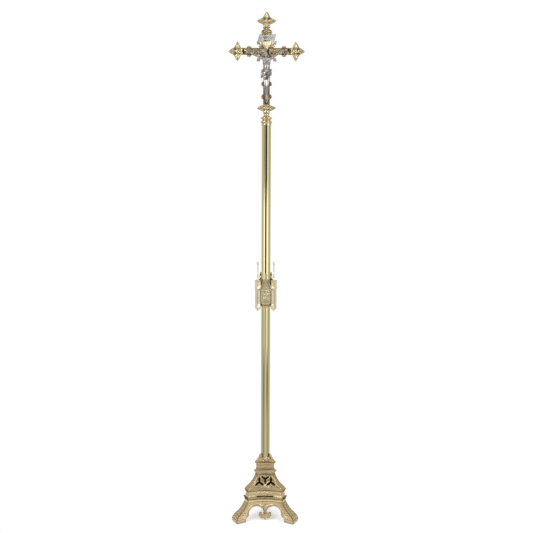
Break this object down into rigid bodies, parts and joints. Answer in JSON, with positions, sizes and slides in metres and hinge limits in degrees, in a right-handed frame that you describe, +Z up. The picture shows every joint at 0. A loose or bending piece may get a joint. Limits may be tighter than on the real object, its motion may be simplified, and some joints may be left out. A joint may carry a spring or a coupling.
{
  "type": "processional cross",
  "caption": "Brass processional cross with figure, on a tubular staff with a gabled knop, standing in a three-footed floor stand.",
  "frame": {"origin": "on the staff's axis at floor level, midway between the three feet", "axes": "+Z up along the staff; -Y is the front, which the figure on the cross faces; +X is to the right seen from the front"},
  "size_m": [0.306, 0.25, 2.132],
  "materials": {
    "cast_brass": "satin cast brass, lacquered",
    "cast_brass_bright": "bright cast brass with dark recesses",
    "polished_brass": "mirror polished and lacquered",
    "turned_brass": "as turned",
    "oxidised_silver": "silver plate, oxidised in the recesses",
    "plain_steel": "plain zinc-plated steel",
    "felt": "pressed wool felt",
    "leather_washer": "plain hide"
  },
  "bodies": {
    "stand": {"tripod_foot": "cast_brass", "base_rim": "cast_brass", "pyramid_body": "cast_brass", "neck_block": "cast_brass", "roof_cap": "cast_brass", "pendant": "cast_brass", "socket_tube": "turned_brass", "socket_collar": "polished_brass", "socket_floor": "turned_brass", "clamp_plate": "plain_steel", "clamp_washer": "plain_steel", "clamp_nut": "plain_steel"},
    "socket_pad": {"socket_pad": "felt"},
    "lower_staff": {"foot_plug": "turned_brass", "lower_tube": "polished_brass", "lower_coupling": "turned_brass", "knop_core": "turned_brass", "knop_panel_front": "cast_brass", "knop_panel_right": "cast_brass", "knop_panel_left": "cast_brass", "knop_pier_right": "cast_brass", "knop_pier_rear": "cast_brass", "knop_pier_left": "cast_brass", "pinnacle_right": "cast_brass", "pinnacle_rear": "cast_brass", "pinnacle_left": "cast_brass"},
    "joint_washer": {"joint_washer": "leather_washer"},
    "upper_staff": {"upper_tube": "polished_brass", "upper_coupling": "turned_brass", "coupling_stud": "plain_steel", "top_ferrule": "polished_brass"},
    "head_washer": {"head_washer": "leather_washer"},
    "cross_head": {"cross_body": "cast_brass_bright", "fleuron_top": "cast_brass_bright", "fleuron_right": "cast_brass_bright", "fleuron_left": "cast_brass_bright", "fleuron_base": "cast_brass_bright", "cross_tang": "plain_steel", "arm_crockets": "cast_brass_bright", "shaft_crockets": "cast_brass_bright", "corner_sprays": "cast_brass_bright", "glory_rays": "cast_brass_bright", "titulus": "oxidised_silver", "titulus_pins": "oxidised_silver", "corpus": "oxidised_silver", "hand_nails": "oxidised_silver", "foot_nail": "oxidised_silver"}
  },
  "joints": [
    {"name": "staff_turn", "type": "hinge", "parent": "stand", "child": "socket_pad", "pos_m": [0, 0, 0.091], "axis": [0, 0, 1], "continuous": true},
    {"name": "staff_lift", "type": "slide", "parent": "socket_pad", "child": "lower_staff", "axis": [0, 0, 1], "range_m": [0, 0.195]},
    {"name": "upper_staff_unscrew", "type": "hinge", "parent": "lower_staff", "child": "joint_washer", "pos_m": [0, 0, 1], "axis": [0, 0, 1], "range_deg": [0, 2880]},
    {"name": "upper_staff_rise", "type": "slide", "parent": "joint_washer", "child": "upper_staff", "axis": [0, 0, 1], "range_m": [0, 0.0204]},
    {"name": "head_unscrew", "type": "hinge", "parent": "upper_staff", "child": "head_washer", "pos_m": [0, 0, 1.719], "axis": [0, 0, 1], "range_deg": [0, 3600]},
    {"name": "head_rise", "type": "slide", "parent": "head_washer", "child": "cross_head", "axis": [0, 0, 1], "range_m": [0, 0.0196]}
  ],
  "couplings": [
    {"joint": "upper_staff_rise", "follows": "upper_staff_unscrew", "m_per_rad": 0.00040425},
    {"joint": "head_rise", "follows": "head_unscrew", "m_per_rad": 0.00031096}
  ]
}
